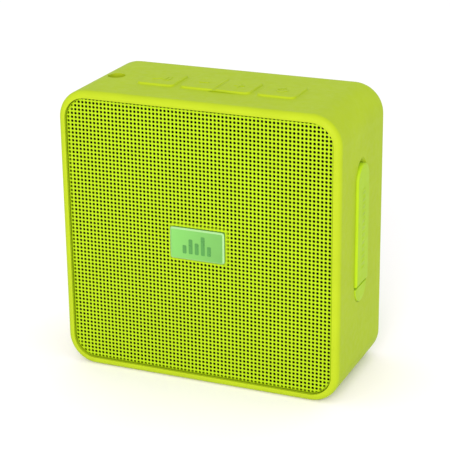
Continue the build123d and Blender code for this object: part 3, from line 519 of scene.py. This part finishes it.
def make_badge_mark():
    """Five shallow raised bars of uneven height, like a level meter."""
    low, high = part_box("badge_plate")
    middle = (low + high) / 2
    bm = bmesh.new()
    for place, height in enumerate(BAR_HEIGHTS):
        x = middle.x + (place - len(BAR_HEIGHTS) // 2) * BAR_STEP
        half_height = height * MM / 2
        z = middle.z + BAR_FLOOR + half_height
        outline = rounded_outline(BAR_WIDTH / 2, half_height, BAR_CORNER, 4)
        top = rounded_outline(BAR_WIDTH / 2 - BAR_RISE, half_height - BAR_RISE, BAR_CORNER - BAR_RISE, 4)
        loft(bm, [
            [(x + u, low.y + BAR_ROOT, z + v) for u, v in outline],
            [(x + u, low.y - BAR_RISE, z + v) for u, v in outline],
            [(x + u, low.y - 2 * BAR_RISE, z + v) for u, v in top],
        ])
    darker = surface(
        "badge_mark", (0.06, 0.24, 0.045), 0.3, 0.12, 0.2, 0.05, 1.4, 0.5,
        Metallic=0.35, Specular_IOR_Level=0.5,
    )
    return finish_mesh("badge_level_mark", bm, darker.material)


def make_badge_bevel():
    """Polished cut bevel round the front edge of the badge plate, coloured lighter than the badge as a
    painted highlight.
    """
    low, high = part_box("badge_plate")
    middle = (low + high) / 2
    bm = bmesh.new()
    rings = []
    for inset, depth in BEVEL_SECTION:
        half_u = (high.x - low.x) / 2 - inset * MM
        half_v = (high.z - low.z) / 2 - inset * MM
        outline = rounded_outline(half_u, half_v, (BADGE_CORNER - inset) * MM, 5)
        rings.append([(middle.x + u, low.y + depth * MM, middle.z + v) for u, v in outline])
    loft(bm, rings, closed=True)
    # Painted highlight: the bevel's colour is lighter than the badge's so it shows as a bright lit line all
    # round; its low roughness is the real polished cut.
    cut_edge_with_painted_highlight = surface(
        "badge_cut_edge_painted_highlight", (0.33, 0.62, 0.25), 0.16, 0.12, 0.1, 0.04, 1.3, 0.5,
        Metallic=0.5, Specular_IOR_Level=0.6,
    )
    return finish_mesh("badge_cut_bevel", bm, cut_edge_with_painted_highlight.material)


for piece in (make_badge_mark(), make_badge_bevel()):
    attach(piece, "speaker")


# ------------------------------------------------------------------ key skirts
FLANGE = 0.45 * MM
KEY_CORNER = 1.8 * MM
MARK_RISE = 0.15 * MM
DIVIDER_DROP = 0.14 * MM
SKIRT_DEPTH = 0.35 * MM
SKIRT_TUCK = 0.06 * MM
SKIRT_FOOT = 0.10 * MM
# The skirt's section over the sleeve, outside to inside, in mm: outset from the key and height
# over the sleeve, then outset and height over the divider on the side that a neighbour touches.
SKIRT_SECTION = (
    (0.42, 0.01, 0.13, -0.04),
    (0.16, 0.05, 0.13, 0.0),
    (0.04, 0.14, 0.02, 0.02),
    (-0.06, 0.16, -0.06, 0.0),
)


def make_key_skirt(key, divider_side):
    """Soft web round a key that closes its gap to the sleeve. divider_side is -1, 0 or 1."""
    low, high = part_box(key + "_key")
    sleeve_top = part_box("outer_sleeve")[1].z
    left = low.x + (0 if divider_side < 0 else FLANGE)
    right = high.x - (0 if divider_side > 0 else FLANGE)
    front, back = low.y + FLANGE, high.y - FLANGE
    centre_x, centre_y = (left + right) / 2, (front + back) / 2

    def ring(outset, z, divider_outset, divider_z):
        """Outline of the key grown by outset, with its divider side kept at its own offset and height."""
        half_x, half_y = (right - left) / 2 + outset, (back - front) / 2 + outset
        points = []
        for u, v in rounded_outline(half_x, half_y, KEY_CORNER + outset, 6):
            x, height = centre_x + u, z
            if divider_side and u * divider_side > half_x - KEY_CORNER - outset:
                x = centre_x + divider_side * ((right - left) / 2 + divider_outset)
                v = math.copysign(half_y, v)
                height = divider_z
            points.append((x, centre_y + v, height))
        return points

    deep, divider_top = sleeve_top - SKIRT_DEPTH, high.z - MARK_RISE - DIVIDER_DROP
    rings = [ring(outset, deep, outset, deep) for outset in (-SKIRT_TUCK, SKIRT_FOOT)]
    for outset, rise, divider_outset, divider_rise in SKIRT_SECTION:
        rings.append(ring(
            outset * MM, sleeve_top + rise * MM, divider_outset * MM, divider_top + divider_rise * MM
        ))
    bm = bmesh.new()
    loft(bm, rings, closed=True)
    skirt = finish_mesh(key + "_key_skirt", bm, finishes["key_rubber"].material, 60)
    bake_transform(skirt)


for key, divider_side in (("play", 0), ("volume_down", 1), ("volume_up", -1), ("power", 0)):
    make_key_skirt(key, divider_side)


# ------------------------------------------------------------------ flap hinge web
WEB_OVERLAP = 0.35 * MM
WEB_MARGIN = 0.2 * MM
WEB_WAIST = 0.12 * MM
WEB_CORNER = 0.12 * MM
WEB_STEPS = 12


def make_hinge_web():
    """Thin rubber strip between the tail and the flap, slightly narrowed at its middle."""
    low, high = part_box("flap_hinge_web")
    _, tail_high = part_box("flap_anchor")
    flap_low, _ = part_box("port_flap")
    middle = (low + high) / 2
    half_x = (high.x - low.x) / 2
    half_y = (high.y - low.y) / 2 + WEB_MARGIN
    bottom, top = tail_high.z - WEB_OVERLAP, flap_low.z + WEB_OVERLAP
    rings = []
    for step in range(WEB_STEPS + 1):
        z = bottom + (top - bottom) * step / WEB_STEPS
        waist = math.sin(math.pi * step / WEB_STEPS) * WEB_WAIST
        outline = rounded_outline(half_x - waist, half_y - waist, WEB_CORNER, 3)
        rings.append([(middle.x + u, middle.y + v, z) for u, v in outline])
    bm = bmesh.new()
    loft(bm, rings)
    web = finish_mesh("flap_living_hinge", bm, finishes["flap_rubber"].material, 50)
    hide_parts("flap_hinge_web")
    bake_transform(web)


make_hinge_web()
